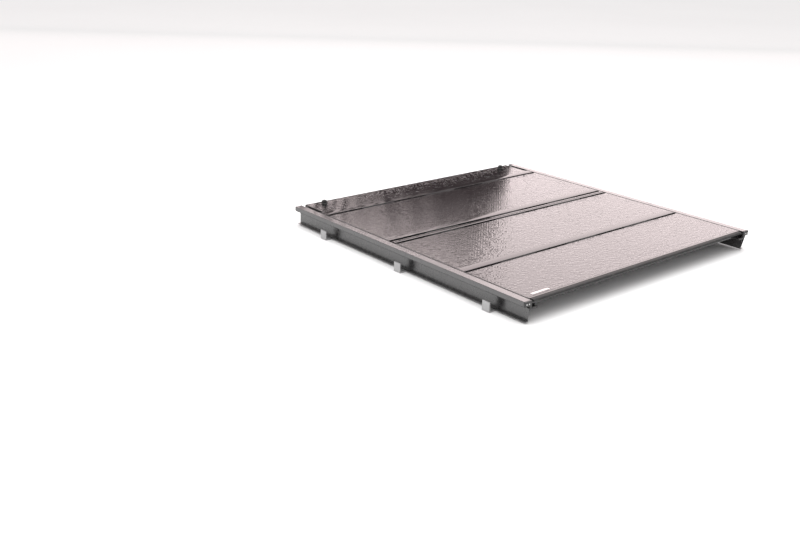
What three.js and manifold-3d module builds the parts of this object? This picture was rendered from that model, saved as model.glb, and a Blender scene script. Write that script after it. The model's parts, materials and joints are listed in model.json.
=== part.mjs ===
// Hard folding cover for a pickup bed: four sandwich panels on a pair of clamped side rails.
// Units are millimetres. X runs across the bed, Y forward towards the cab and Z up. While the pieces are
// being made, Y = 0 is the rear edge of the rear panel and Z = 0 is the panels' top plane.
import * as THREE from 'three';
import { mergeVertices } from 'three/addons/utils/BufferGeometryUtils.js';
import Module from 'manifold-3d';

const wasm = await Module();
wasm.setup();

// ---- driving dimensions -------------------------------------------------------------------------
const GAP = 0.3; // clearance between pieces that touch
const THICK = 28; // panel thickness
const SKIN = 1.5; // textured top skin
const WALL = 2.2; // extrusion wall
const PANEL_HALF = 766; // half width of a panel, over its side caps
const FRONT_HALF = 748; // half width of the front panel ahead of its hinge strip
const CAP = 5; // side cap thickness
const STRIP = 46; // smooth hinge strip on the forward side of each hinge
const EDGE = 9; // plain extrusion on the rearward side of each hinge
const FRONT_END = 1610; // front edge of the front panel

const REAR_HINGE = 379; // hinge axes
const LINK_REAR = 850;
const LINK_FRONT = 893;
const FRONT_HINGE = 1391;
const PIVOT_Z = 1; // hinge axes lie just above the top plane, so that panels fold face to face
const KNUCKLE_R = 2.6;
const BORE_R = 1.45;
const PIN_R = 1;
const KNUCKLES = 7; // knuckles along one hinge
const EDGE_GAP = 3.4; // panel edge to hinge axis
const SLOPE = 2; // fall of a panel edge towards the knuckle
const SLOPE_RUN = 8;

const RAIL_IN = 770; // inner edge of the rail's top strip
const RAIL_OUT = 809;
const RAIL_REAR = -15;
const RAIL_FRONT = 1612;
const RAIL_WALL = 3;
const RAIL_BOX = 22; // depth of the rail's hollow top box
const WEB_IN = 775;
const WEB_FOOT = -95;
const FOOT_OUT = 793;
const LIP_IN = 735; // inner edge of the drain gutter
const LIP_OUT = 738;
const LIP_TOP = -32.5;
const SHELF_TOP = -35.5;
const SHELF_BOTTOM = -38;
const RAIL_CHAMFER = 2;
const RAIL_CAP = 8.7; // rear end cap, along Y
const SEAL_HALF = 755; // half length of the rear seal
const BULKHEAD_HALF = 725; // half length of the bulkhead seal
const BULKHEAD_REAR = 1586;
const BULKHEAD_BOTTOM = -48;

const CLAMP_Y = { rear: 180, middle: 760, front: 1340 };
const CLAMP_WIDTH = 44;
const CLAMP_BOTTOM = -103;
const JAW_IN = 819; // outer jaw, facing the web
const JAW_OUT = 826;
const JAW_TOP = -56;
const UPRIGHT_IN = 754;
const UPRIGHT_OUT = 765;
const BOLT_Z = -76;
const BOLT_R = 4;
const BOLT_HEAD_R = 7.5;

const LATCH_Y = 60;
const LATCH_BOTTOM = -42;
const HOUSING_IN = 672;
const HOUSING_OUT = 730;
const HOUSING_HALF = 20; // half width along Y
const TONGUE_TIP = 752;
const TONGUE_TAIL = 690;
const TONGUE_HALF = 10; // half width along Y
const TONGUE_TOP = SHELF_BOTTOM - GAP;
const TONGUE_BOTTOM = -41.7;

const ARM_X = 759; // prop arm in the slot beside the front panel
const ARM_PIVOT_Y = 1580;
const ARM_LENGTH = 124;
const ARM_Z = -9;

const BUMP_X = 655;
const BUMP_Y = 1568;

// ---- materials ----------------------------------------------------------------------------------
const finish = (color, roughness, metalness) =>
  new THREE.MeshStandardMaterial({ color, roughness, metalness });
const SKIN_BLACK = finish(0x2a292b, 0.45, 0.2);
const PANEL_BACK = finish(0x1b1b1d, 0.6, 0.1);
const RAIL_BLACK = finish(0x262628, 0.35, 0.4);
const PLASTIC = finish(0x161617, 0.55, 0);
const RUBBER = finish(0x101010, 0.85, 0);
const STEEL = finish(0x8b8d90, 0.3, 1);
const CLAMP_METAL = finish(0x9a9c9f, 0.4, 0.9);

// ---- shape helpers ------------------------------------------------------------------------------
const X = new THREE.Vector3(1, 0, 0);
const Y = new THREE.Vector3(0, 1, 0);
const Z = new THREE.Vector3(0, 0, 1);

function solid(geometry) {
  const bare = geometry.clone();
  bare.deleteAttribute('normal');
  bare.deleteAttribute('uv');
  const merged = mergeVertices(bare, 1e-4);
  return new wasm.Manifold(new wasm.Mesh({
    numProp: 3,
    vertProperties: new Float32Array(merged.attributes.position.array),
    triVerts: new Uint32Array(merged.index.array),
  }));
}

function join(...geometries) {
  return geometries.map(solid).reduce((whole, piece) => whole.add(piece));
}

function geometryOf(manifold) {
  const mesh = manifold.getMesh();
  const geometry = new THREE.BufferGeometry();
  geometry.setAttribute('position', new THREE.BufferAttribute(new Float32Array(mesh.vertProperties), 3));
  geometry.setIndex(new THREE.BufferAttribute(new Uint32Array(mesh.triVerts), 1));
  geometry.computeVertexNormals();
  return geometry;
}

function outline(points, holes = []) {
  const shape = new THREE.Shape(points.map(([a, b]) => new THREE.Vector2(a, b)));
  shape.holes = holes.map((hole) => new THREE.Path(hole.map(([a, b]) => new THREE.Vector2(a, b))));
  return shape;
}

const extrude = (shape, depth) =>
  new THREE.ExtrudeGeometry(shape, { depth, bevelEnabled: false, curveSegments: 4 });

// an outline in (Y, Z), run along X
function prismX(shape, x0, x1) {
  const turn = new THREE.Matrix4().makeBasis(Y, Z, X);
  return extrude(shape, x1 - x0).applyMatrix4(turn).translate(x0, 0, 0);
}

// an outline in (X, Z), run along Y
function prismY(shape, y0, y1) {
  const turn = new THREE.Matrix4().makeBasis(X, Z, Y.clone().negate());
  return extrude(shape, y1 - y0).applyMatrix4(turn).translate(0, y1, 0);
}

// an outline in (X, Y), run along Z
const prismZ = (shape, z0, z1) => extrude(shape, z1 - z0).translate(0, 0, z0);

function box([x0, x1], [y0, y1], [z0, z1]) {
  return new THREE.BoxGeometry(x1 - x0, y1 - y0, z1 - z0)
    .translate((x0 + x1) / 2, (y0 + y1) / 2, (z0 + z1) / 2);
}

// a round bar along X
function barX(radius, [x0, x1], y, z, sides = 12) {
  return new THREE.CylinderGeometry(radius, radius, x1 - x0, sides)
    .rotateZ(Math.PI / 2).translate((x0 + x1) / 2, y, z);
}

const rectangle = (a0, a1, b0, b1) => [[a0, b0], [a1, b0], [a1, b1], [a0, b1]];

function roundedRectangle(a0, a1, b0, b1, r) {
  const shape = new THREE.Shape();
  shape.moveTo(a0 + r, b0).lineTo(a1 - r, b0);
  shape.absarc(a1 - r, b0 + r, r, -Math.PI / 2, 0).lineTo(a1, b1 - r);
  shape.absarc(a1 - r, b1 - r, r, 0, Math.PI / 2).lineTo(a0 + r, b1);
  shape.absarc(a0 + r, b1 - r, r, Math.PI / 2, Math.PI).lineTo(a0, b0 + r);
  shape.absarc(a0 + r, b0 + r, r, Math.PI, 1.5 * Math.PI);
  return shape;
}

function mirrored(geometry) {
  const flipped = geometry.index ? geometry.toNonIndexed() : geometry.clone();
  const at = flipped.attributes.position;
  for (let i = 0; i < at.count; i += 3) {
    const [a, b, c] = [0, 2, 1].map((k) => new THREE.Vector3().fromBufferAttribute(at, i + k));
    [a, b, c].forEach((p, k) => at.setXYZ(i + k, -p.x, p.y, p.z));
  }
  flipped.computeVertexNormals();
  return flipped;
}

const cover = new THREE.Group();

function place(name, shape, material) {
  const geometry = shape.isBufferGeometry ? shape : geometryOf(shape);
  const mesh = new THREE.Mesh(geometry, material);
  mesh.name = name;
  cover.add(mesh);
}

// a right-hand piece and its mirrored left-hand twin; the name has the word SIDE in it
function placePair(name, shape, material) {
  const right = shape.isBufferGeometry ? shape : geometryOf(shape);
  place(name.replace('SIDE', 'right'), right, material);
  place(name.replace('SIDE', 'left'), mirrored(right), material);
}

// ---- side rails ---------------------------------------------------------------------------------
function railSection() {
  const webOut = WEB_IN + RAIL_WALL;
  const footTop = WEB_FOOT + RAIL_WALL;
  const rim = [
    [RAIL_IN, 0], [RAIL_OUT - RAIL_CHAMFER, 0], [RAIL_OUT, -RAIL_CHAMFER], [RAIL_OUT, -RAIL_BOX],
    [webOut, -RAIL_BOX], [webOut, footTop], [FOOT_OUT, footTop], [FOOT_OUT, WEB_FOOT],
    [WEB_IN, WEB_FOOT], [WEB_IN, SHELF_BOTTOM], [LIP_IN, SHELF_BOTTOM], [LIP_IN, LIP_TOP],
    [LIP_OUT, LIP_TOP], [LIP_OUT, SHELF_TOP], [WEB_IN, SHELF_TOP], [WEB_IN, -RAIL_WALL],
    [RAIL_IN, -RAIL_WALL],
  ];
  const hollow = rectangle(webOut, RAIL_OUT - RAIL_WALL, RAIL_WALL - RAIL_BOX, -RAIL_WALL);
  return outline(rim, [hollow]);
}

function rails() {
  placePair('rail_SIDE', prismY(railSection(), RAIL_REAR, RAIL_FRONT), RAIL_BLACK);
  const seal = { inset: 5, overhang: 2.5, reach: 6, corner: 1.8 };
  const sealRim = roundedRectangle(
    LIP_IN - seal.overhang, LIP_IN + seal.reach, LIP_TOP + GAP, -THICK - GAP, seal.corner,
  );
  placePair('rail_seal_SIDE', prismY(sealRim, RAIL_REAR + seal.inset, RAIL_FRONT - seal.inset), RUBBER);
  const proud = 1; // how far the end cap stands past the rail's outline
  const rise = 0.5;
  const capOut = RAIL_OUT + rise;
  const webOut = WEB_IN + RAIL_WALL + proud;
  const capRim = [
    [RAIL_IN - proud, rise], [RAIL_OUT - RAIL_CHAMFER, rise], [capOut, -RAIL_CHAMFER],
    [capOut, -RAIL_BOX - proud], [webOut, -RAIL_BOX - proud], [webOut, SHELF_BOTTOM - proud],
    [LIP_IN - proud, SHELF_BOTTOM - proud], [LIP_IN - proud, LIP_TOP + proud],
    [RAIL_IN - proud, LIP_TOP + proud],
  ];
  const capFront = RAIL_REAR - GAP;
  placePair('rail_cap_SIDE', prismY(outline(capRim), capFront - RAIL_CAP, capFront), PLASTIC);
}

// ---- clamps -------------------------------------------------------------------------------------
function clampBody(y) {
  const floorTop = WEB_FOOT - GAP;
  const uprightTop = BOLT_Z + 12;
  const chamfer = 3;
  const rim = [
    [UPRIGHT_IN, uprightTop], [UPRIGHT_IN, CLAMP_BOTTOM + chamfer], [UPRIGHT_IN + chamfer, CLAMP_BOTTOM],
    [JAW_OUT - chamfer, CLAMP_BOTTOM], [JAW_OUT, CLAMP_BOTTOM + chamfer], [JAW_OUT, JAW_TOP],
    [JAW_IN, JAW_TOP], [JAW_IN, floorTop], [UPRIGHT_OUT, floorTop], [UPRIGHT_OUT, uprightTop],
  ];
  const hole = barX(BOLT_R + 0.5, [UPRIGHT_IN - 5, UPRIGHT_OUT + 5], y, BOLT_Z, 16);
  return solid(prismY(outline(rim), y - CLAMP_WIDTH / 2, y + CLAMP_WIDTH / 2)).subtract(solid(hole));
}

function clampBolt(y) {
  const tip = WEB_IN - GAP;
  const headFace = UPRIGHT_IN - GAP;
  const flange = 1.8;
  const pad = 3;
  const head = 8;
  return join(
    barX(BOLT_R, [headFace - flange, tip - pad / 2], y, BOLT_Z, 16),
    barX(BOLT_R + 2.5, [tip - pad, tip], y, BOLT_Z, 16),
    barX(BOLT_HEAD_R + 1.5, [headFace - flange, headFace], y, BOLT_Z, 16),
    barX(BOLT_HEAD_R, [headFace - head, headFace - flange / 2], y, BOLT_Z, 6),
  );
}

function clamps() {
  for (const [where, y] of Object.entries(CLAMP_Y)) {
    placePair(`clamp_SIDE_${where}`, clampBody(y), CLAMP_METAL);
    placePair(`clamp_bolt_SIDE_${where}`, clampBolt(y), STEEL);
  }
}

// ---- panel extrusions and hinges ----------------------------------------------------------------
const INNER_HALF = PANEL_HALF - CAP - GAP; // half length of skins, cores and extrusions

// knuckles of one leaf; `first` is 0 or 1, the index of its first knuckle along the axis
function knuckles(axisY, ahead, first) {
  const pitch = (2 * INNER_HALF) / KNUCKLES;
  const shoulder = KNUCKLE_R * Math.SQRT1_2;
  const root = { inside: 1, outside: 3, bottom: -4 }; // where the neck runs into the panel's edge
  const rootTop = -SLOPE * 0.65; // just inside the sloped edge
  const neck = [
    [0, PIVOT_Z - KNUCKLE_R], [EDGE_GAP + root.inside, root.bottom],
    [EDGE_GAP + root.outside, rootTop], [shoulder, PIVOT_Z + shoulder],
  ];
  const neckShape = outline(neck.map(([u, z]) => [axisY + ahead * u, z]));
  const pieces = [];
  for (let i = first; i < KNUCKLES; i += 2) {
    const ends = [i * pitch - INNER_HALF + GAP, (i + 1) * pitch - INNER_HALF - GAP];
    pieces.push(barX(KNUCKLE_R, ends, axisY, PIVOT_Z, 14), prismX(neckShape, ...ends));
  }
  return pieces;
}

const hingeBore = (axisY) => solid(barX(BORE_R, [-PANEL_HALF, PANEL_HALF], axisY, PIVOT_Z, 8));

// hollow extrusion beside a hinge axis; ahead is +1 when it lies forward of the axis
function hingeExtrusion(axisY, ahead, width, first, cells) {
  const end = EDGE_GAP + width;
  const rim = [
    [EDGE_GAP, -THICK], [EDGE_GAP, -SLOPE], [EDGE_GAP + Math.min(SLOPE_RUN, width - 1), 0], [end, 0],
    [end, -THICK],
  ];
  const cell = (width - WALL) / cells;
  const hollows = [];
  for (let i = 0; i < cells; i += 1) {
    const start = EDGE_GAP + WALL + i * cell;
    hollows.push(rectangle(start, start + cell - WALL, WALL - THICK, -SLOPE - WALL - 1));
  }
  const across = (points) => points.map(([u, z]) => [axisY + ahead * u, z]);
  const body = prismX(outline(across(rim)), -INNER_HALF, INNER_HALF);
  const leaf = join(body, ...knuckles(axisY, ahead, first)).subtract(hingeBore(axisY));
  return withoutCells(leaf, hollows.map(across));
}

// runs each cell, an outline in (Y, Z), right through a bar along X
function withoutCells(bar, cells) {
  return cells.map((cell) => solid(prismX(outline(cell), -PANEL_HALF, PANEL_HALF)))
    .reduce((left, cell) => left.subtract(cell), bar);
}

function hingePin(name, axisY) {
  place(name, barX(PIN_R, [GAP - INNER_HALF, INNER_HALF - GAP], axisY, PIVOT_Z, 8), STEEL);
}

// ---- panels -------------------------------------------------------------------------------------
function sandwich(name, half, y0, y1) {
  place(`${name}_skin`, box([-half, half], [y0, y1], [-SKIN, 0]), SKIN_BLACK);
  place(`${name}_core`, box([-half, half], [y0, y1], [-THICK, -SKIN - GAP]), PANEL_BACK);
}

function sideCaps(name, y0, y1) {
  const rim = roundedRectangle(y0, y1, -THICK, 0, 2.5);
  placePair(`${name}_cap_SIDE`, prismX(rim, PANEL_HALF - CAP, PANEL_HALF), PLASTIC);
}

// a panel between two hinges: plain front edge, sandwich, hinge strip at the rear
function hingedPanel(name, rearAxis, frontAxis) {
  const frontLeaf = hingeExtrusion(frontAxis, -1, EDGE, 1, 1);
  place(`${name}_front_edge`, frontLeaf, RAIL_BLACK);
  place(`${name}_hinge_strip`, hingeExtrusion(rearAxis, 1, STRIP, 0, 2), RAIL_BLACK);
  const rear = rearAxis + EDGE_GAP;
  const front = frontAxis - EDGE_GAP;
  sandwich(name, INNER_HALF, rear + STRIP + GAP, front - EDGE - GAP);
  sideCaps(name, rear, front);
}

function frontPanel() {
  const stripEnd = FRONT_HINGE + EDGE_GAP + STRIP;
  const trim = 10;
  const half = FRONT_HALF - CAP - GAP;
  place('front_panel_hinge_strip', hingeExtrusion(FRONT_HINGE, 1, STRIP, 0, 2), RAIL_BLACK);
  sandwich('front_panel', half, stripEnd + GAP, FRONT_END - trim - GAP);
  const trimRim = rectangle(FRONT_END - trim, FRONT_END, -THICK, 0);
  const trimHollow = rectangle(FRONT_END - trim + WALL, FRONT_END - WALL, WALL - THICK, -WALL);
  place('front_panel_front_trim', prismX(outline(trimRim, [trimHollow]), -half, half), RAIL_BLACK);
  const plan = [
    [PANEL_HALF - CAP, FRONT_HINGE + EDGE_GAP], [PANEL_HALF, FRONT_HINGE + EDGE_GAP],
    [PANEL_HALF, stripEnd + CAP], [FRONT_HALF, stripEnd + CAP], [FRONT_HALF, FRONT_END],
    [FRONT_HALF - CAP, FRONT_END], [FRONT_HALF - CAP, stripEnd + GAP], [PANEL_HALF - CAP, stripEnd + GAP],
  ];
  placePair('front_panel_cap_SIDE', prismZ(outline(plan), -THICK, 0), PLASTIC);
  const sealAlong = [BULKHEAD_REAR, RAIL_FRONT - GAP];
  const sealUp = [BULKHEAD_BOTTOM, -THICK - GAP];
  place('bulkhead_seal', box([-BULKHEAD_HALF, BULKHEAD_HALF], sealAlong, sealUp), RUBBER);
}

function bumpStops() {
  const profile = [
    [0, 0], [17, 0], [17, 3], [14, 5], [13, 15], [11.5, 18], [8, 19.6], [0, 20],
  ].map(([r, z]) => new THREE.Vector2(r, z));
  const knob = new THREE.LatheGeometry(profile, 20).rotateX(Math.PI / 2).translate(BUMP_X, BUMP_Y, GAP);
  placePair('bump_stop_SIDE', knob, RUBBER);
}

function hingeLink() {
  const rear = LINK_REAR + EDGE_GAP;
  const front = LINK_FRONT - EDGE_GAP;
  const middle = (rear + front) / 2;
  const bead = 1.5;
  const rim = [
    [rear, -THICK], [rear, -SLOPE], [rear + SLOPE_RUN, 0], [middle - 5, 0], [middle - 3, bead],
    [middle + 3, bead], [middle + 5, 0], [front - SLOPE_RUN, 0], [front, -SLOPE], [front, -THICK],
  ];
  const cellTop = -SLOPE - WALL - 1;
  const hollows = [
    rectangle(rear + WALL, middle - WALL / 2, WALL - THICK, cellTop),
    rectangle(middle + WALL / 2, front - WALL, WALL - THICK, cellTop),
  ];
  const bar = prismX(outline(rim), -INNER_HALF, INNER_HALF);
  const link = join(bar, ...knuckles(LINK_REAR, 1, 0), ...knuckles(LINK_FRONT, -1, 1))
    .subtract(hingeBore(LINK_REAR)).subtract(hingeBore(LINK_FRONT));
  place('hinge_link', withoutCells(link, hollows), RAIL_BLACK);
  hingePin('hinge_link_rear_pin', LINK_REAR);
  hingePin('hinge_link_front_pin', LINK_FRONT);
}

function rearPanel() {
  const trim = 10;
  const front = REAR_HINGE - EDGE_GAP;
  place('rear_panel_front_edge', hingeExtrusion(REAR_HINGE, -1, EDGE, 1, 1), RAIL_BLACK);
  const trimRim = rectangle(0, trim, -THICK, 0);
  const trimHollow = rectangle(WALL, trim - WALL, WALL - THICK, -WALL);
  place('rear_panel_rear_trim', prismX(outline(trimRim, [trimHollow]), -INNER_HALF, INNER_HALF), RAIL_BLACK);
  sandwich('rear_panel', INNER_HALF, trim + GAP, front - EDGE - GAP);
  sideCaps('rear_panel', 0, front);
  const blade = [
    [-GAP, -1], [-14, -1.5], [-20, -5], [-21, -10], [-19, -10.4], [-17, -6.5], [-13, -4], [-3, -3.6],
    [-3, -20], [-GAP, -20],
  ];
  place('rear_seal', prismX(outline(blade), -SEAL_HALF, SEAL_HALF), RUBBER);
}

// ---- prop arms ----------------------------------------------------------------------------------
function propArms() {
  const slotIn = FRONT_HALF + GAP + 1.5;
  const slotOut = RAIL_IN - GAP - 0.7;
  const baseHalf = 12;
  const baseTop = -22;
  const baseAlong = [ARM_PIVOT_Y - baseHalf, ARM_PIVOT_Y + baseHalf];
  const base = box([slotIn, slotOut], baseAlong, [SHELF_TOP + GAP, baseTop]);
  const ear = 3; // thickness of each ear
  const earRim = outline([
    [-9, baseTop - 1], [9, baseTop - 1], [7, ARM_Z + 4], [3, ARM_Z + 7], [-3, ARM_Z + 7], [-7, ARM_Z + 4],
  ].map(([u, z]) => [ARM_PIVOT_Y + u, z]));
  const pivotR = 2.5;
  const bracket = join(
    base,
    prismX(earRim, slotIn, slotIn + ear),
    prismX(earRim, slotOut - ear, slotOut),
    barX(pivotR, [slotIn + 1, slotOut - 1], ARM_PIVOT_Y, ARM_Z, 12),
  );
  placePair('prop_bracket_SIDE', bracket, PLASTIC);
  const tipY = ARM_PIVOT_Y - ARM_LENGTH;
  const eyeHalf = 5;
  const ballR = 7;
  const barR = 3.8;
  const ball = new THREE.SphereGeometry(ballR, 14, 10).translate(ARM_X, tipY, ARM_Z);
  const bar = new THREE.CylinderGeometry(barR, barR, ARM_LENGTH, 12)
    .translate(ARM_X, (ARM_PIVOT_Y + tipY) / 2, ARM_Z);
  const eye = barX(6.2, [ARM_X - eyeHalf, ARM_X + eyeHalf], ARM_PIVOT_Y, ARM_Z, 16);
  const hole = barX(pivotR + 0.4, [ARM_X - eyeHalf - 3, ARM_X + eyeHalf + 3], ARM_PIVOT_Y, ARM_Z, 12);
  placePair('prop_arm_SIDE', join(bar, ball, eye).subtract(solid(hole)), PLASTIC);
}

// ---- rear latches -------------------------------------------------------------------------------
function latches() {
  const top = -THICK - GAP;
  const channel = TONGUE_HALF + GAP;
  const past = 10; // how far the cutter of the tongue's channel runs past the housing
  const block = box([HOUSING_IN, HOUSING_OUT], [LATCH_Y - HOUSING_HALF, LATCH_Y + HOUSING_HALF],
    [LATCH_BOTTOM, top]);
  const cutter = box([HOUSING_IN - past, HOUSING_OUT + past], [LATCH_Y - channel, LATCH_Y + channel],
    [LATCH_BOTTOM - past, SHELF_BOTTOM]);
  placePair('latch_housing_SIDE', solid(block).subtract(solid(cutter)), PLASTIC);
  const tongueSide = outline([
    [TONGUE_TAIL, TONGUE_TOP], [TONGUE_TIP, TONGUE_TOP], [TONGUE_TIP, TONGUE_TOP - 1.2],
    [TONGUE_TIP - 7, TONGUE_BOTTOM], [TONGUE_TAIL, TONGUE_BOTTOM],
  ]);
  placePair('latch_bolt_SIDE', prismY(tongueSide, LATCH_Y - TONGUE_HALF, LATCH_Y + TONGUE_HALF), STEEL);
  // the cable leaves each latch square to it and bows forward towards the middle of the panel
  const cableZ = -33;
  const cableR = 1.5;
  const cableEnd = HOUSING_IN - GAP;
  const halfRun = [[180, 80], [350, 76], [500, 68], [600, 61], [640, 60], [cableEnd, LATCH_Y]];
  const run = [...halfRun.map(([x, y]) => [-x, y]).reverse(), [0, 81], ...halfRun];
  const route = new THREE.CatmullRomCurve3(run.map(([x, y]) => new THREE.Vector3(x, y, cableZ)));
  const section = new THREE.Shape().absarc(0, 0, cableR, 0, 2 * Math.PI);
  const cable = new THREE.ExtrudeGeometry(section, { steps: 48, extrudePath: route, curveSegments: 8 });
  place('release_cable', cable, RUBBER);
}

rails();
clamps();
frontPanel();
bumpStops();
propArms();
hingedPanel('second_panel', LINK_FRONT, FRONT_HINGE);
hingePin('front_hinge_pin', FRONT_HINGE);
hingeLink();
hingedPanel('third_panel', REAR_HINGE, LINK_REAR);
rearPanel();
hingePin('rear_hinge_pin', REAR_HINGE);
latches();

// The finished cover stands on its clamps: Z = 0 is their underside, and Y = 0 the middle of its length.
const rearmost = RAIL_REAR - GAP - RAIL_CAP;
cover.position.set(0, -(rearmost + RAIL_FRONT) / 2, -CLAMP_BOTTOM);
const model = new THREE.Group();
model.add(cover);

export default model;
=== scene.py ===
"""Looks for a hard folding pickup bed cover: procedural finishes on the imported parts, and the small
hardware, seals and release cable that the plain frame leaves out.

Metres; X across the bed, Y towards the cab, Z up.
"""
import json
import math

import bmesh
import bpy
from mathutils import Matrix, Vector


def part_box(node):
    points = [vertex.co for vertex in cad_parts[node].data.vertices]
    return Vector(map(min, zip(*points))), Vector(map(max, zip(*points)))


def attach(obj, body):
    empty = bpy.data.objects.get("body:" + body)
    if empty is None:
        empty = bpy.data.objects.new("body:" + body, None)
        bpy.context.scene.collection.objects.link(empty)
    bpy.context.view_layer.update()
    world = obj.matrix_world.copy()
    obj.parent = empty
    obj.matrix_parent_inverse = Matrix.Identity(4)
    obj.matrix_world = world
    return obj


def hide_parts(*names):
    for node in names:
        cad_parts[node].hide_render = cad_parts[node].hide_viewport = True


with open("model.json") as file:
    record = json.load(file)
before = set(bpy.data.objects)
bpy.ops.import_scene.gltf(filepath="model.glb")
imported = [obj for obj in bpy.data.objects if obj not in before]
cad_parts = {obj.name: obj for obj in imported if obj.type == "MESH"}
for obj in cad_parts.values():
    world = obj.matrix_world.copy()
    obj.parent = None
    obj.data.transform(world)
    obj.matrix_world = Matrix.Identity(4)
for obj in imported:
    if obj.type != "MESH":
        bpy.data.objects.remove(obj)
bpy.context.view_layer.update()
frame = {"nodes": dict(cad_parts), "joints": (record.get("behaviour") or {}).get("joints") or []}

MM = 0.001
SIDES = {"left": -1, "right": 1}
JOINTS = {joint["name"]: joint for joint in frame["joints"]}
NODES = frame["nodes"]

# Pieces are laid out in millimetres from the middle of the rear panel's rear edge, at the panels' top.
REAR_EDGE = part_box("rear_panel_rear_trim")[0].y
TOP_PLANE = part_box("second_panel_skin")[1].z


def at(x, y, z):
    return Vector((x * MM, REAR_EDGE + y * MM, TOP_PLANE + z * MM))


def along(point):
    """A frame position's distance forward of the rear edge, in millimetres."""
    return (point[1] - REAR_EDGE) / MM


def node_span(node):
    """Lowest and highest corner of a CAD node in the layout's millimetres."""
    low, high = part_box(node)
    return [(p.x / MM, along(p), (p.z - TOP_PLANE) / MM) for p in (low, high)]


HINGE_Y = {name: along(JOINTS[name]["pos_m"])
           for name in ("front_fold", "link_fold", "third_panel_fold", "rear_fold")}
PANEL_THICK = 28


# ---- camera -------------------------------------------------------------------------------------
def make_camera():
    camera = bpy.data.objects.new("camera", bpy.data.cameras.new("camera"))
    bpy.context.scene.collection.objects.link(camera)
    bpy.context.scene.camera = camera
    camera.data.sensor_width = 36
    camera.data.lens = 43.75
    turn, tilt, roll = (math.radians(angle) for angle in (40.36, 20.89, 1.56))
    look = Matrix.Rotation(-turn, 4, "Z") @ Matrix.Rotation(math.pi / 2 - tilt, 4, "X")
    stand = Matrix.Translation((-3.5295, -3.2392, 1.5623))
    camera.matrix_world = stand @ look @ Matrix.Rotation(roll, 4, "Z")
    camera.data.clip_end = 200


make_camera()


# ---- shader maths -------------------------------------------------------------------------------
class Wire:
    """A number socket that takes Python arithmetic; each operator adds its Math node."""

    def __init__(self, paint, socket):
        self.paint = paint
        self.socket = socket

    def __add__(self, other):
        return self.paint.maths("ADD", self, other)

    def __sub__(self, other):
        return self.paint.maths("SUBTRACT", self, other)

    def __rsub__(self, other):
        return self.paint.maths("SUBTRACT", other, self)

    def __mul__(self, other):
        return self.paint.maths("MULTIPLY", self, other)

    def __truediv__(self, other):
        return self.paint.maths("DIVIDE", self, other)

    def __pow__(self, other):
        return self.paint.maths("POWER", self, other)

    def __abs__(self):
        return self.paint.maths("ABSOLUTE", self)

    __radd__ = __add__
    __rmul__ = __mul__


class Paint:
    """One procedural material: `add` makes any node from its type, its settings and its socket values."""

    def __init__(self, name):
        self.material = bpy.data.materials.new(name)
        self.material.use_nodes = True
        self.tree = self.material.node_tree
        self.tree.nodes.clear()
        self.surface = self.add("ShaderNodeBsdfPrincipled")
        self.add("ShaderNodeOutputMaterial", inputs={"Surface": self.surface.outputs[0]})
        self.place = self.add("ShaderNodeTexCoord").outputs["Object"]

    def add(self, kind, settings=None, inputs=None):
        node = self.tree.nodes.new(kind)
        for key, value in (settings or {}).items():
            setattr(node, key, value)
        for key, value in (inputs or {}).items():
            self.plug(node.inputs[key], value)
        return node

    def plug(self, socket, value):
        value = getattr(value, "socket", value)
        if isinstance(value, bpy.types.NodeSocket):
            self.tree.links.new(value, socket)
        elif isinstance(value, (tuple, list)) and len(value) == 3 and socket.type == "RGBA":
            socket.default_value = (*value, 1)
        else:
            socket.default_value = value

    def maths(self, operation, *values):
        node = self.add("ShaderNodeMath", {"operation": operation}, dict(enumerate(values)))
        return Wire(self, node.outputs[0])

    def axes(self, vector=None):
        split = self.add("ShaderNodeSeparateXYZ", inputs={0: vector or self.place})
        return [Wire(self, output) for output in split.outputs]

    def stretched(self, scale):
        """The object's own coordinates, multiplied along each axis."""
        node = self.add("ShaderNodeVectorMath", {"operation": "MULTIPLY"}, {0: self.place, 1: scale})
        return node.outputs[0]

    def noise(self, per_metre, detail=3.0, roughness=0.55, vector=None):
        inputs = {"Vector": vector or self.place, "Scale": per_metre,
                  "Detail": detail, "Roughness": roughness}
        return Wire(self, self.add("ShaderNodeTexNoise", inputs=inputs).outputs[0])

    def range(self, value, low, high, to_low=0.0, to_high=1.0):
        inputs = {0: value, 1: low, 2: high, 3: to_low, 4: to_high}
        return Wire(self, self.add("ShaderNodeMapRange", inputs=inputs).outputs[0])

    def blend(self, factor, first, second):
        node = self.add("ShaderNodeMix", {"data_type": "RGBA"}, {0: factor, 6: first, 7: second})
        return node.outputs[2]

    def bump(self, height, depth):
        inputs = {"Height": height, "Distance": depth, "Strength": 1.0}
        return self.add("ShaderNodeBump", inputs=inputs).outputs[0]

    def set(self, **inputs):
        for key, value in inputs.items():
            self.plug(self.surface.inputs[key.replace("_", " ")], value)
        return self.material


# ---- finishes -----------------------------------------------------------------------------------
def dust(paint, amount):
    """Soft patches of settled dust, 0 to `amount`."""
    patches = paint.noise(5, 4) * paint.noise(38, 3)
    return paint.range(patches, 0.2, 0.42, 0, amount)


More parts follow.
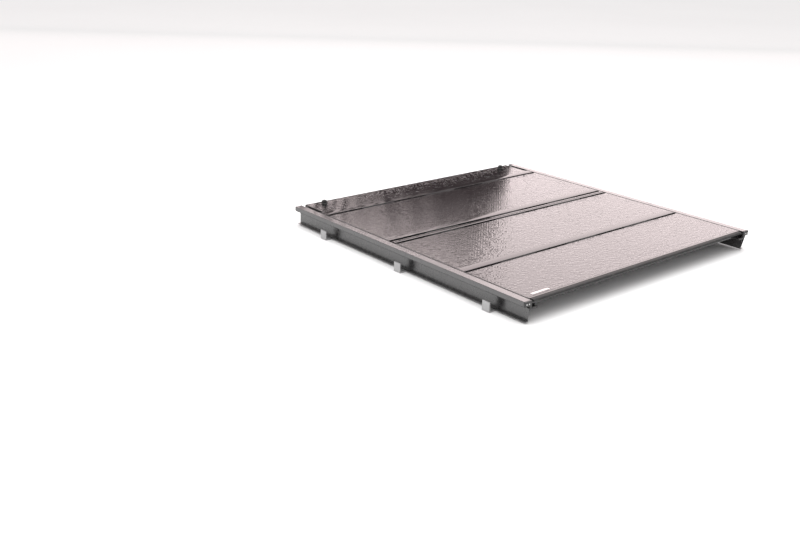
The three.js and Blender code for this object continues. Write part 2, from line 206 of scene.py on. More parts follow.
def panel_skin_finish():
    """Satin black sheet with an embossed diamond grain whose faces each lean a little differently; its
    colour carries painted shade in the grooves and painted highlights on the diamond tops.
    """
    paint = Paint("embossed_panel_sheet")
    across, forward, _ = paint.axes()
    sway = (paint.noise(60, 2) - 0.5) * 0.35
    diamond = 0.0125 * math.sqrt(2)
    first = (across + forward) / diamond + sway
    second = (across - forward) / diamond + sway
    ridge_a = abs(paint.maths("FRACT", first) - 0.5) * 2
    ridge_b = abs(paint.maths("FRACT", second) - 0.5) * 2
    valley = paint.maths("MAXIMUM", ridge_a, ridge_b)
    pillow = 1 - valley ** 3.0
    cell = paint.add("ShaderNodeCombineXYZ", inputs={
        0: paint.maths("FLOOR", first), 1: paint.maths("FLOOR", second)})
    lean = Wire(paint, paint.add("ShaderNodeTexWhiteNoise", inputs={0: cell.outputs[0]}).outputs[0])
    tilt = (ridge_a - ridge_b) * (lean - 0.5)
    grain = paint.noise(900, 3, 0.6)
    hammer = paint.noise(62, 1, 0.5) * 0.25 + paint.noise(150, 1) * 0.12
    emboss = pillow * 0.25 + tilt * 2.2 + grain * 0.04 + hammer * 0.8
    normal = paint.bump(emboss, 0.0006)
    worn = paint.range(paint.noise(3.2, 3), 0.35, 0.7)
    film = dust(paint, 0.06)
    # Painted shade and painted highlight: the colour is darker in the grooves between the diamonds, and
    # lighter on the diamond tops and on diamonds leaning one way. The worn patches add real wear.
    painted_shade_glint_and_wear = pillow * 0.5 + lean * 0.3 + worn * 0.2
    shade = paint.blend(painted_shade_glint_and_wear, (0.005, 0.0045, 0.005), (0.016, 0.0145, 0.015))
    colour = paint.blend(film, shade, (0.12, 0.11, 0.105))
    rough = 0.115 + worn * 0.03 + film * 0.9 + (1 - pillow) * 0.06
    return paint.set(Base_Color=colour, Roughness=rough, Normal=normal, IOR=1.52)


def panel_back_finish():
    """Underside sheet: stucco grain over a faint print of the core's cells."""
    paint = Paint("underside_sheet")
    stucco = paint.noise(420, 3, 0.6)
    cells = paint.add("ShaderNodeTexVoronoi", {"feature": "DISTANCE_TO_EDGE"}, {"Scale": 95.0})
    print_through = paint.range(cells.outputs["Distance"], 0.0, 0.12)
    normal = paint.bump(stucco * 0.7 + print_through * 0.3, 0.0002)
    film = dust(paint, 0.3)
    shade = paint.blend(stucco, (0.018, 0.018, 0.019), (0.035, 0.035, 0.036))
    colour = paint.blend(film, shade, (0.16, 0.15, 0.14))
    return paint.set(Base_Color=colour, Roughness=0.5 + film * 0.4, Normal=normal)


def powder_coat_finish():
    """Satin black powder coat on the hinge extrusions: orange peel, die lines and rubbed patches."""
    paint = Paint("satin_powder_coat")
    peel = paint.noise(750, 2, 0.5)
    die_lines = paint.noise(1, 3, 0.6, paint.stretched((6, 900, 900)))
    normal = paint.bump(peel * 0.7 + die_lines * 0.3, 0.00006)
    rubbed = paint.range(paint.noise(9, 4), 0.42, 0.72)
    film = dust(paint, 0.08)
    shade = paint.blend(rubbed * 0.6 + die_lines * 0.4, (0.006, 0.0055, 0.006), (0.02, 0.019, 0.0195))
    colour = paint.blend(film, shade, (0.14, 0.13, 0.125))
    rough = 0.12 + rubbed * 0.06 + film * 0.6
    return paint.set(Base_Color=colour, Roughness=rough, Normal=normal, IOR=1.52)


def rail_finish():
    """Black anodised aluminium with long draw lines and handling marks."""
    paint = Paint("anodised_rail")
    draw = paint.noise(1, 4, 0.65, paint.stretched((1400, 5, 1400)))
    speck = paint.noise(480, 2)
    normal = paint.bump(draw * 0.6 + speck * 0.4, 0.00005)
    marks = paint.range(paint.noise(14, 4), 0.5, 0.75)
    film = dust(paint, 0.1)
    shade = paint.blend(draw, (0.014, 0.0135, 0.014), (0.034, 0.033, 0.034))
    dull = paint.blend(marks * 0.5, shade, (0.045, 0.044, 0.044))
    colour = paint.blend(film, dull, (0.16, 0.15, 0.145))
    rough = 0.2 + draw * 0.1 + marks * 0.08 + film * 0.6
    return paint.set(Base_Color=colour, Metallic=draw * 0.2, Roughness=rough, Normal=normal, IOR=2.0)


def moulding_finish():
    """Black glass-filled plastic with a fine spark-eroded grain."""
    paint = Paint("moulded_plastic")
    grain = paint.noise(1300, 3, 0.6)
    flow = paint.noise(30, 3)
    normal = paint.bump(grain, 0.00007)
    film = dust(paint, 0.2)
    shade = paint.blend(grain * 0.6 + flow * 0.4, (0.012, 0.012, 0.0125), (0.03, 0.03, 0.031))
    colour = paint.blend(film, shade, (0.17, 0.16, 0.15))
    return paint.set(Base_Color=colour, Roughness=0.45 + flow * 0.12 + film * 0.3, Normal=normal)


def rubber_finish():
    """Matte seal rubber with bloom and long extrusion streaks."""
    paint = Paint("seal_rubber")
    grain = paint.noise(1500, 2, 0.5)
    streak = paint.noise(1, 3, 0.6, paint.stretched((20, 20, 700)))
    bloom = paint.range(paint.noise(22, 4) * paint.noise(90, 2), 0.22, 0.45)
    normal = paint.bump(grain * 0.5 + streak * 0.5, 0.00009)
    shade = paint.blend(bloom, (0.009, 0.009, 0.0095), (0.045, 0.044, 0.042))
    return paint.set(Base_Color=shade, Roughness=0.72 + bloom * 0.15, Normal=normal)


def zinc_finish():
    """Zinc-plated steel: fine turned lines, spangle and dull patches."""
    paint = Paint("zinc_plated_steel")
    spangle = paint.add("ShaderNodeTexVoronoi", inputs={"Scale": 700.0}).outputs["Color"]
    spangle = paint.axes(spangle)[0]
    dull = paint.range(paint.noise(120, 4), 0.4, 0.7)
    normal = paint.bump(paint.noise(1800, 2), 0.00003)
    shade = paint.blend(spangle * 0.5 + dull * 0.5, (0.62, 0.62, 0.6), (0.38, 0.38, 0.385))
    return paint.set(Base_Color=shade, Metallic=1.0, Roughness=0.22 + dull * 0.2, Normal=normal)


def casting_finish():
    """Tumbled die-cast aluminium with pores; the colour is painted darker in the pores and low spots, as
    painted shade.
    """
    paint = Paint("cast_clamp_metal")
    pores = paint.noise(650, 4, 0.65)
    cloud = paint.noise(45, 4)
    normal = paint.bump(pores * 0.8 + cloud * 0.2, 0.00014)
    # Painted shade: the colour is darker where the pore and cloud heights of the bump are low.
    shade = paint.blend(pores * 0.5 + cloud * 0.5, (0.26, 0.26, 0.265), (0.52, 0.52, 0.52))
    return paint.set(Base_Color=shade, Metallic=0.85, Roughness=0.4 + cloud * 0.15, Normal=normal)


def badge_finish():
    """Dark brushed plate, lighter and darker along its brush streaks."""
    paint = Paint("brushed_plate")
    brush = paint.noise(1, 3, 0.6, paint.stretched((12, 2200, 300)))
    shade = paint.blend(brush, (0.45, 0.44, 0.44), (0.7, 0.69, 0.69))
    normal = paint.bump(brush, 0.00003)
    return paint.set(Base_Color=shade, Metallic=0.9, Roughness=0.3 + brush * 0.15, Normal=normal)


FINISH = {
    "panel_skin": panel_skin_finish(),
    "panel_core": panel_back_finish(),
    "black_extrusion": powder_coat_finish(),
    "rail": rail_finish(),
    "moulded_plastic": moulding_finish(),
    "rubber": rubber_finish(),
    "cable_jacket": rubber_finish(),
    "steel": zinc_finish(),
    "clamp_metal": casting_finish(),
    "plate": badge_finish(),
}


# ---- mesh making --------------------------------------------------------------------------------
class Shape:
    """Collects solids in one mesh, laid out in millimetres with `at`."""

    def __init__(self):
        self.mesh = bmesh.new()

    def loops(self, rings, ends="capped"):
        """Skins a stack of point rings, each with the same number of points; joined ends make a torus."""
        rows = [[self.mesh.verts.new(point) for point in ring] for ring in rings]
        count = len(rows[0])
        uppers = rows[1:] + rows[:1] if ends == "joined" else rows[1:]
        for lower, upper in zip(rows, uppers):
            for i in range(count):
                k = (i + 1) % count
                self.mesh.faces.new((lower[i], lower[k], upper[k], upper[i]))
        if ends == "capped":
            self.mesh.faces.new(rows[0][::-1])
            self.mesh.faces.new(rows[-1])
        return self

    def run_x(self, section, start, end, steps=1):
        """Runs a (Y, Z) outline along X."""
        stops = [start + (end - start) * i / steps for i in range(steps + 1)]
        return self.loops([[at(x, y, z) for y, z in section] for x in stops])

    def run_y(self, section, start, end, steps=1):
        """Runs an (X, Z) outline along Y."""
        stops = [start + (end - start) * i / steps for i in range(steps + 1)]
        return self.loops([[at(x, y, z) for x, z in section] for y in stops])

    def turned(self, profile, centre, axis, segments=28, closed=False):
        """Turns a (radius, height) profile about an axis from `centre`. A closed profile makes a ring."""
        basis = Vector(axis).to_track_quat("Z", "Y").to_matrix()
        start = at(*centre)
        rings = []
        for radius, height in profile:
            angles = [2 * math.pi * i / segments for i in range(segments)]
            rings.append([start + basis @ Vector((
                radius * math.cos(a), radius * math.sin(a), height)) * MM for a in angles])
        return self.loops(rings, "joined" if closed else "capped")

    def tube(self, points, radius, segments=12):
        """A round bar through points in layout millimetres."""
        path = [at(*p) for p in points]
        rings, side = [], Vector((0, 0, 1))
        for i, point in enumerate(path):
            ahead = path[min(i + 1, len(path) - 1)] - path[max(i - 1, 0)]
            ahead.normalize()
            side = (side - ahead * side.dot(ahead)).normalized()
            other = ahead.cross(side)
            angles = [2 * math.pi * k / segments for k in range(segments)]
            rings.append([point + (side * math.cos(a) + other * math.sin(a)) * radius * MM for a in angles])
        return self.loops(rings)

    def finish(self, name, finish, body, slot, stands_for=(), bevel=0.0, sharp=35):
        mesh = bpy.data.meshes.new(name)
        bmesh.ops.recalc_face_normals(self.mesh, faces=self.mesh.faces)
        self.mesh.to_mesh(mesh)
        self.mesh.free()
        piece = bpy.data.objects.new(name, mesh)
        bpy.context.scene.collection.objects.link(piece)
        mesh.materials.append(FINISH[finish])
        smooth(piece, bevel, sharp)
        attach(piece, body)
        if stands_for:
            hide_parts(*stands_for)
        return piece


def smooth(piece, bevel, sharp):
    piece.data.shade_smooth()
    if bevel:
        edge = piece.modifiers.new("rounded_edges", "BEVEL")
        edge.width = bevel * MM
        edge.segments = 3
        edge.limit_method = "ANGLE"
        edge.angle_limit = math.radians(sharp)
        edge.harden_normals = True
    else:
        piece.data.set_sharp_from_angle(angle=math.radians(sharp))


def dress(node, finish, bevel, sharp=35):
    """Gives a CAD node its finish and rounded edges; its own vertices stay as they are."""
    piece = NODES[node]
    piece.data.materials.clear()
    piece.data.materials.append(FINISH[finish])
    normals = piece.data.attributes.get("custom_normal")
    if normals:
        piece.data.attributes.remove(normals)
    weld = piece.modifiers.new("weld", "WELD")
    weld.merge_threshold = 0.01 * MM
    flat = piece.modifiers.new("flat_faces", "DECIMATE")
    flat.decimate_type = "DISSOLVE"
    flat.angle_limit = math.radians(1)
    smooth(piece, bevel, sharp)


def arc(centre_a, centre_b, radius, start, end, steps):
    turn = [math.radians(start + (end - start) * i / steps) for i in range(steps + 1)]
    return [(centre_a + radius * math.cos(t), centre_b + radius * math.sin(t)) for t in turn]


def rounded(a0, a1, b0, b1, r, steps=4):
    """A rectangle with round corners."""
    return (arc(a1 - r, b1 - r, r, 0, 90, steps) + arc(a0 + r, b1 - r, r, 90, 180, steps)
            + arc(a0 + r, b0 + r, r, 180, 270, steps) + arc(a1 - r, b0 + r, r, 270, 360, steps))


def mirror_x(section, side):
    return [(side * a, b) for a, b in section]


# ---- carried-over parts -------------------------------------------------------------------------
def dress_frame_nodes():
    for panel in ("front_panel", "second_panel", "third_panel", "rear_panel"):
        dress(f"{panel}_skin", "panel_skin", 0.5)
        dress(f"{panel}_core", "panel_core", 0.4)
        for side in SIDES:
            dress(f"{panel}_cap_{side}", "moulded_plastic", 1.0)
    for panel in ("front_panel", "second_panel", "third_panel"):
        dress(f"{panel}_hinge_strip", "black_extrusion", 0.35)
    for panel in ("second_panel", "third_panel", "rear_panel"):
        dress(f"{panel}_front_edge", "black_extrusion", 0.35)
    dress("hinge_link", "black_extrusion", 0.35)
    dress("front_panel_front_trim", "black_extrusion", 0.8)
    dress("rear_panel_rear_trim", "black_extrusion", 0.8)
    for pin in ("front_hinge_pin", "rear_hinge_pin", "hinge_link_front_pin", "hinge_link_rear_pin"):
        dress(pin, "steel", 0)
    for side in SIDES:
        dress(f"rail_{side}", "rail", 0.7)
        dress(f"rail_cap_{side}", "moulded_plastic", 1.4)
        dress(f"prop_bracket_{side}", "moulded_plastic", 0.7)
        dress(f"latch_housing_{side}", "moulded_plastic", 1.2)
        dress(f"latch_bolt_{side}", "steel", 0.5)
        for where in ("rear", "middle", "front"):
            dress(f"clamp_{side}_{where}", "clamp_metal", 1.4)


dress_frame_nodes()


# ---- rail hardware ------------------------------------------------------------------------------
RAIL_LOW, RAIL_HIGH = node_span("rail_right")
SEAL_LOW, SEAL_HIGH = node_span("rail_seal_right")
PANEL_UNDER = -PANEL_THICK
DRAIN_X, DRAIN_Y, GUTTER_UNDER = 752, 1545, -38.3


def rail_seal(side):
    """Bulb seal along the gutter lip, with a leg that grips the lip's inner side."""
    inner, outer = SEAL_LOW[0] + 0.2, SEAL_HIGH[0] - 0.2
    middle = (inner + outer) / 2
    half = (outer - inner) / 2
    foot, crown = SEAL_LOW[2] + 0.1, SEAL_HIGH[2]
    bulb = [(middle + half * math.cos(t), crown - 1.9 + 1.9 * math.sin(t))
            for t in (math.pi * i / 12 for i in range(13))]
    leg = [(inner, foot), (inner + 0.4, foot - 4), (inner + 1.7, foot - 4), (inner + 1.9, foot)]
    section = mirror_x(bulb + leg + [(outer, foot)], side)
    return Shape().run_y(section, SEAL_LOW[1], SEAL_HIGH[1], 60)


def foam_tape(side):
    """Closed-cell tape under the rail's top box, where it lies on the truck."""
    web_face, outer_edge, box_depth = 785, RAIL_HIGH[0] - 3, 22
    section = rounded(web_face, outer_edge, -box_depth - 3.2, -box_depth - 0.2, 1.2, 3)
    return Shape().run_y(mirror_x(section, side), RAIL_LOW[1] + 1, RAIL_HIGH[1] - 1, 60)


def drain_nipple(side):
    """Barbed hose nipple under the front end of the gutter."""
    barbs = []
    for k in range(3):
        top = 8 + 5 * k
        barbs += [(4.4, top), (5.3, top + 0.8), (4.5, top + 4)]
    profile = [(8, 0), (8, 1.6), (7.2, 2.2), (4.4, 3)] + barbs + [(4.2, 24), (3.1, 24), (2.9, 2)]
    return Shape().turned(profile, (side * DRAIN_X, DRAIN_Y, GUTTER_UNDER), (0, 0, -1))


def screw(shape, centre, axis, radius=3.0, height=1.9):
    """A pan-head screw with a hexagonal socket, its head standing along `axis` from `centre`."""
    socket = radius * 0.45
    profile = [(radius * 0.95, 0), (radius, 0.3 * height), (radius * 0.86, 0.75 * height),
               (radius * 0.62, height), (socket, height)]
    shape.turned(profile, centre, axis, 24)
    start = tuple(c + a * height * 0.999 for c, a in zip(centre, axis))
    shape.turned([(socket * 0.99, 0), (socket * 0.9, -height * 0.6)], start, axis, 6)
    return shape


def rail_cap_screws(side):
    low, high = node_span("rail_cap_right")
    shape = Shape()
    for x in (786, 800):
        screw(shape, (side * x, low[1] - 0.02, -12), (0, -1, 0), 3.4, 2.0)
    return shape


def make_rail_hardware():
    for name, side in SIDES.items():
        seal = rail_seal(side)
        seal.finish(f"gutter_seal_{name}", "rubber", "frame", "rubber", [f"rail_seal_{name}"], sharp=50)
        foam_tape(side).finish(f"foam_tape_{name}", "rubber", "frame", "rubber")
        nipple = drain_nipple(side)
        nipple.finish(f"drain_nipple_{name}", "moulded_plastic", "frame", "moulded_plastic", sharp=50)
        rail_cap_screws(side).finish(f"rail_cap_screws_{name}", "steel", "frame", "steel")


# ---- clamps -------------------------------------------------------------------------------------
def clamp_screw(side, node):
    """Flanged hexagon screw: swivel pad at its tip, rolled thread, flange and head."""
    low, high = node_span(node)
    middle_y, middle_z = (low[1] + high[1]) / 2, (low[2] + high[2]) / 2
    tip = max(abs(low[0]), abs(high[0]))
    pitch, crest, root = 1.25, 4.0, 3.35
    thread = []
    for k in range(13):
        start = 4.2 + k * pitch
        thread += [(root, start), (crest, start + pitch * 0.4), (crest, start + pitch * 0.6)]
    profile = [(5.6, 0), (6.4, 0.6), (6.4, 2.4), (5.6, 3), (3.6, 3.4)] + thread
    profile += [(crest, 20.7), (9.0, 21.0), (9.0, 21.9), (8.2, 22.7), (6.6, 22.9)]
    shape = Shape().turned(profile, (side * tip, middle_y, middle_z), (-side, 0, 0), 32)
    head = [(7.5, 22.6), (7.5, 27.6), (6.7, 28.8), (6.1, 29.0)]
    return shape.turned(head, (side * tip, middle_y, middle_z), (-side, 0, 0), 6)


def jaw_pad(side, node):
    """Ribbed rubber pad on the clamp's outer jaw."""
    low, high = node_span(node)
    jaw_face, ribs, pitch, floor = 818.9, 8, 4.4, -97
    outline = [(jaw_face, floor)]
    for k in range(ribs):
        foot = floor + k * pitch
        outline += [(jaw_face - 0.8, foot + 0.6), (jaw_face - 1.5, foot + 1.6), (jaw_face - 1.5, foot + 2.9),
                    (jaw_face - 0.8, foot + 3.9)]
    outline.append((jaw_face, floor + ribs * pitch))
    return Shape().run_y(mirror_x(outline, side), low[1] + 2, high[1] - 2)


def make_clamp_hardware():
    for name, side in SIDES.items():
        for where in ("rear", "middle", "front"):
            bolt = f"clamp_bolt_{name}_{where}"
            clamp_screw(side, bolt).finish(f"clamp_screw_{name}_{where}", "steel", "frame", "steel", [bolt])
            pad = jaw_pad(side, f"clamp_{name}_{where}")
            pad.finish(f"jaw_pad_{name}_{where}", "rubber", "frame", "rubber")


# ---- seals across the bed -----------------------------------------------------------------------
def bulkhead_seal():
    """Soft extruded seal under the front panel: a clip base and three drooping fins."""
    low, high = node_span("bulkhead_seal")
    back, face, top, foot = low[1], high[1], high[2], low[2]
    fins = []
    for k in range(3):
        root = top - 4.5 - 5 * k
        fins += [(face - 4.5, root + 0.8), (face - 0.9, root - 0.9), (face - 0.2, root - 2.1),
                 (face - 1.0, root - 2.6), (face - 4.5, root - 1.2)]
    section = [(back, top), (face - 4, top)] + fins + [(face - 4.5, foot + 0.6), (face - 5.6, foot),
                                                     (face - 7.4, foot), (face - 8, foot + 1)]
    section += [(face - 8, top - 3.4), (back + 1, top - 3.4), (back, top - 2.6)]
    return Shape().run_x(section, low[0], high[0], 50)


def rear_seal():
    """Blade seal on the rear trim that laps over the tailgate's top edge."""
    low, high = node_span("rear_seal")
    blade_top = [(-0.35, -1.0), (-4, -1.05), (-9, -1.2), (-14, -1.7), (-17.6, -3.2), (-19.8, -5.6),
                 (-20.8, -9.6)]
    blade_back = [(-20.2, -10.3), (-19.4, -10.1), (-18.2, -7.6), (-16.4, -5.5), (-13, -4.1), (-8, -3.7),
                  (-4.2, -3.7)]
    base = [(-3.2, -4.6), (-3.2, -9), (-4.0, -9.8), (-3.2, -10.6), (-3.2, -14), (-4.0, -14.8),
            (-3.2, -15.6), (-3.2, -19.4), (-2.6, -20), (-0.35, -20)]
    return Shape().run_x(blade_top + blade_back + base, low[0], high[0], 50)


GASKET_REACH = 755


def hinge_gasket(axis_y):
    """Rubber strip that closes the gap under a hinge; it is fixed to the leaf ahead."""
    fold = [(axis_y + 3.1, -5), (axis_y + 1.2, -4.8), (axis_y - 1.2, -5.6), (axis_y - 2.5, -7.5),
            (axis_y - 2.5, -9.5), (axis_y - 0.6, -11), (axis_y + 0.9, -13), (axis_y + 1.1, -21),
            (axis_y + 3.1, -22)]
    return Shape().run_x(fold, -GASKET_REACH, GASKET_REACH, 50)


def make_cross_seals():
    bulkhead_seal().finish("bulkhead_fin_seal", "rubber", "frame", "rubber", ["bulkhead_seal"], sharp=50)
    rear_seal().finish("tailgate_lip_seal", "rubber", "rear_panel", "rubber", ["rear_seal"], sharp=50)
    holders = {"front_fold": "frame", "link_fold": "second_panel", "third_panel_fold": "hinge_link",
               "rear_fold": "third_panel"}
    for joint, body in holders.items():
        gasket = hinge_gasket(HINGE_Y[joint])
        gasket.finish(f"hinge_gasket_{joint}", "rubber", body, "rubber", sharp=60)


# ---- front panel hardware -----------------------------------------------------------------------
def bump_stop(side):
    """Ribbed rubber stop with its fixing screw sunk in the crown."""
    low, high = node_span("bump_stop_right")
    centre = (side * (low[0] + high[0]) / 2, (low[1] + high[1]) / 2, low[2])
    base = [(16.6, 0), (17, 0.5), (17, 2.3), (16.3, 3.1), (14.2, 4.2), (13.5, 6.3)]
    ribs = [(12.7, 7.0), (12.7, 8.0), (13.3, 8.7), (13.1, 10.9), (12.4, 11.6), (12.4, 12.6), (13.0, 13.2)]
    crown = [(12.7, 15.4), (11.7, 17.7), (9.4, 19.3), (6.4, 19.8), (5.2, 19.5), (4.7, 18.6), (4.6, 14.0)]
    stop = Shape().turned(base + ribs + crown, centre, (0, 0, 1), 40)
    return stop, (centre[0], centre[1], centre[2] + 14.05)


PROP_X, PROP_PIVOT_Y, PROP_Z = 759, along(JOINTS["prop_arm_right_swing"]["pos_m"]), -9
PROP_TIP_Y = node_span("prop_arm_right")[0][1] + 7


def prop_rod(side):
    """Anodised rod with a shouldered collar and a flat eye that turns on the bracket's pin."""
    x = side * PROP_X
    reach = PROP_PIVOT_Y - PROP_TIP_Y
    rod = [(3.0, 4.6), (4.6, 5.2), (4.6, 11), (3.7, 12.2), (3.5, reach - 12), (3.5, reach - 3)]
    shape = Shape().turned(rod, (x, PROP_PIVOT_Y, PROP_Z), (0, -1, 0), 24)
    ring = rounded(3.0, 6.1, -4.7, 4.7, 0.8, 2)
    return shape.turned(ring, (x, PROP_PIVOT_Y, PROP_Z), (1, 0, 0), 32, closed=True)


def prop_tip(side):
    """Rubber ball pushed on the rod's end, with a rolled collar."""
    ball = [(6.9 * math.sin(t), -6.9 * math.cos(t)) for t in (math.radians(8 + 11 * i) for i in range(13))]
    neck = [(4.9, 7.4), (5.0, 9.6), (4.5, 10.2), (3.7, 10.3)]
    return Shape().turned(ball + neck, (side * PROP_X, PROP_TIP_Y, PROP_Z), (0, 1, 0), 32)


def make_front_hardware():
    for name, side in SIDES.items():
        stop, screw_seat = bump_stop(side)
        stop.finish(f"bump_cushion_{name}", "rubber", "frame", "rubber", [f"bump_stop_{name}"], sharp=50)
        stop_screw = screw(Shape(), screw_seat, (0, 0, 1), 4.0, 2.4)
        stop_screw.finish(f"bump_screw_{name}", "steel", "frame", "steel")
        arm = f"prop_arm_{name}"
        rod = prop_rod(side)
        rod.finish(f"prop_rod_{name}", "black_extrusion", arm, "black_extrusion", [arm], sharp=50)
        prop_tip(side).finish(f"prop_tip_{name}", "rubber", arm, "rubber", sharp=50)


# ---- panel hardware -----------------------------------------------------------------------------
PANEL_BODY = {"front_panel": "frame", "second_panel": "second_panel", "third_panel": "third_panel",
              "rear_panel": "rear_panel"}


def cap_screws(panel, side):
    """Screws through a panel's side cap into the ends of its extrusions."""
    low, high = node_span(f"{panel}_cap_right")
    rear, front = low[1], high[1]
    places = {"front_panel": [rear + 8, rear + 38], "rear_panel": [rear + 5, front - 5]}
    shape = Shape()
    for y in places.get(panel, [rear + 8, rear + 38, front - 5]):
        for z in (-8, -20):
            screw(shape, (side * high[0], y, z), (side, 0, 0), 2.6, 1.6)
    return shape


def name_plate():
    """Blank ribbed plate at the rear panel's left corner."""
    left, rear, length, depth = -720, 20, 105, 15
    shape = Shape()
    shape.run_y(rounded(left, left + length, 0.05, 0.9, 0.35, 2), rear, rear + depth)
    for k in range(3):
        start = rear + 2.5 + 3.8 * k
        rib = rounded(start, start + 2.2, 0.6, 1.5, 0.4, 3)
        shape.run_x(rib, left + 4, left + length - 4)
    return shape


def latch_screws(side):
    """Low countersunk screws in the latch housing's underside."""
    low, high = node_span("latch_housing_right")
    shape = Shape()
    for x in (low[0] + 8, high[0] - 8):
        for y in (low[1] + 4.6, high[1] - 4.6):
            head = [(3.4, 0), (3.4, 0.2), (3.0, 0.4), (1.6, 0.42), (1.5, 0.1)]
            shape.turned(head, (side * x, y, low[2]), (0, 0, -1), 24)
    return shape


CABLE_REACH, CABLE_BOW, CABLE_Z, CABLE_RADIUS = 671.7, 21, -33, 1.5
LATCH_Y = 60
CLIP_PITCH, PULL_X = 280, 420


def cable_y(x):
    """The cable's distance forward: it leaves both latches square and bows towards the middle."""
    return LATCH_Y + CABLE_BOW * math.cos(math.pi / 2 * min(1, abs(x) / 640)) ** 1.35


def release_cable():
    steps = 90
    stops = [-CABLE_REACH + 2 * CABLE_REACH * i / steps for i in range(steps + 1)]
    return Shape().tube([(x, cable_y(x), CABLE_Z) for x in stops], CABLE_RADIUS, 16)


def cable_clip(x):
    """Moulded saddle that holds the cable under the panel."""
    y = cable_y(x)
    top = PANEL_UNDER - 0.1
    hoop = arc(y, CABLE_Z, 3.1, 0, -180, 10)
    bore = arc(y, CABLE_Z, 1.75, -180, 0, 10)
    section = [(y + 9, top), (y + 9, top - 1.8), (y + 3.1, top - 2.2)] + hoop
    section += [(y - 3.1, top - 2.2), (y - 4.2, top - 1.8), (y - 4.2, top), (y - 1.75, top)]
    section += bore + [(y + 1.75, top)]
    return Shape().run_x(section, x - 5, x + 5)


def finger_pull(x):
    """Moulded grip threaded on the cable."""
    y = cable_y(x)
    grip = [(2.0, 0), (4.2, 2), (4.6, 12), (3.9, 22), (3.9, 33), (4.6, 43), (4.2, 53), (2.0, 55)]
    return Shape().turned(grip, (x - 27.5, y, CABLE_Z), (1, 0, 0), 24)


def make_panel_hardware():
    for panel, body in PANEL_BODY.items():
        for name, side in SIDES.items():
            cap_screws(panel, side).finish(f"cap_screws_{panel}_{name}", "steel", body, "steel")
    name_plate().finish("blank_plate", "plate", "rear_panel", "steel")
    cable = release_cable()
    stands_for = ["release_cable"]
    cable.finish("latch_release_cable", "cable_jacket", "rear_panel", "cable_jacket", stands_for, sharp=60)
    for k in range(5):
        clip = cable_clip(CLIP_PITCH * (k - 2))
        clip.finish(f"cable_clip_{k + 1}", "moulded_plastic", "rear_panel", "moulded_plastic")
    for name, side in SIDES.items():
        latch_screws(side).finish(f"latch_screws_{name}", "steel", "rear_panel", "steel")
        pull = finger_pull(side * PULL_X)
        pull.finish(f"finger_pull_{name}", "moulded_plastic", "rear_panel", "moulded_plastic", sharp=60)


make_rail_hardware()
make_clamp_hardware()
make_cross_seals()
make_front_hardware()
make_panel_hardware()


# ---- floor and light ----------------------------------------------------------------------------
def pale_floor():
    paint = Paint("studio_floor")
    cloud = paint.noise(0.4, 2)
    shade = paint.blend(cloud, (0.86, 0.86, 0.86), (0.9, 0.9, 0.9))
    material = paint.set(Base_Color=shade, Roughness=0.9)
    mesh = bpy.data.meshes.new("floor")
    reach = 60
    mesh.from_pydata([(-reach, -reach, 0), (reach, -reach, 0), (reach, reach, 0), (-reach, reach, 0)], [],
                     [(0, 1, 2, 3)])
    mesh.materials.append(material)
    floor = bpy.data.objects.new("floor", mesh)
    bpy.context.scene.collection.objects.link(floor)


def soft_lamp(name, place, target, width, depth, power):
    lamp = bpy.data.lights.new(name, "AREA")
    lamp.shape = "RECTANGLE"
    lamp.size = width
    lamp.size_y = depth
    lamp.energy = power
    light = bpy.data.objects.new(name, lamp)
    bpy.context.scene.collection.objects.link(light)
    light.location = place
    light.rotation_mode = "QUATERNION"
    light.rotation_quaternion = (Vector(target) - Vector(place)).to_track_quat("-Z", "Y")
    light.visible_camera = False


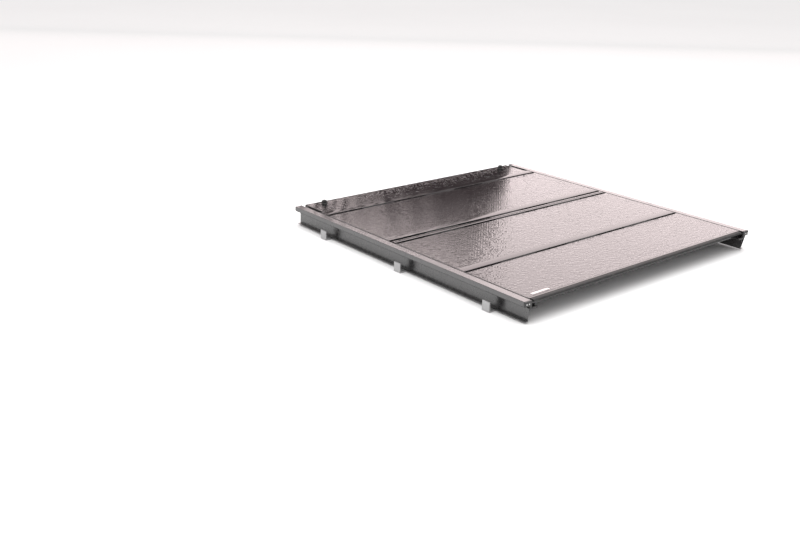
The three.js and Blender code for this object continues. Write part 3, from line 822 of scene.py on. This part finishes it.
def reflector(name, corners, make_glow):
    """A studio card that shows only in reflections; make_glow gives its colour from its place."""
    paint = Paint(name)
    glow = make_glow(paint)
    material = paint.set(Base_Color=(0, 0, 0), Emission_Color=glow, Emission_Strength=1.0, Roughness=1.0)
    mesh = bpy.data.meshes.new(name)
    mesh.from_pydata(corners, [], [tuple(range(len(corners)))])
    mesh.materials.append(material)
    card = bpy.data.objects.new(name, mesh)
    bpy.context.scene.collection.objects.link(card)
    card.visible_camera = False
    card.visible_diffuse = False
    card.visible_shadow = False
    card.visible_transmission = False


STUDIO_WARMTH = (1.0, 0.865, 0.865)


def warm(glow):
    return tuple(part * glow for part in STUDIO_WARMTH)


def bright_card():
    """The bright studio wall ahead and to the right, square to the line from the camera."""
    forward = Vector((0.605, 0.712, 0)).normalized()
    across = Vector((forward.y, -forward.x, 0))
    distance, left, right, low, high = 8.0, -10.0, 7.0, 0.35, 13.0
    corners = [forward * distance + across * a + Vector((0, 0, z))
               for a, z in ((left, low), (right, low), (right, high), (left, high))]

    def glow(paint):
        x, y, _ = paint.axes()
        rightward = paint.range(x * across.x + y * across.y, -5.2, right)
        return paint.blend(rightward, warm(2.9), warm(3.5))

    reflector("bright_card", corners, glow)


def dark_card():
    """A dark card ahead of the cover, where a cab would stand; towards its upper left it turns patchy."""
    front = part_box("front_panel_front_trim")[1].y + 0.07
    outline = [(-0.95, 0.0), (0.88, 0.0), (0.80, 0.22), (0.66, 0.45), (0.6, 0.6), (0.3, 0.6), (-0.25, 0.5),
               (-0.62, 0.25)]
    corners = [Vector((x, front, TOP_PLANE + 0.01 + z)) for x, z in outline]

    def glow(paint):
        x, _, z = paint.axes()
        height = z - TOP_PLANE
        fade = paint.range(height * 1.6 - x * 0.55, 0.0, 0.95)
        blotch = paint.range(paint.noise(1, 1, 0.5, paint.stretched((20, 1, 13))), 0.47, 0.52)
        patches = paint.blend(blotch, warm(0.15), warm(6.0))
        return paint.blend(fade ** 1.5, (0.03, 0.012, 0.014), patches)

    reflector("dark_card", corners, glow)


def studio_light():
    world = bpy.data.worlds.new("studio")
    bpy.context.scene.world = world
    world.use_nodes = True
    ground = world.node_tree.nodes["Background"]
    ground.inputs["Color"].default_value = (1.0, 0.98, 0.98, 1)
    ground.inputs["Strength"].default_value = 0.95
    soft_lamp("overhead_softbox", (-0.6, -0.4, 4.2), (0, 0, 0), 5, 5, 200)
    bpy.context.scene.view_settings.view_transform = "Standard"


pale_floor()
studio_light()
bright_card()
dark_card()
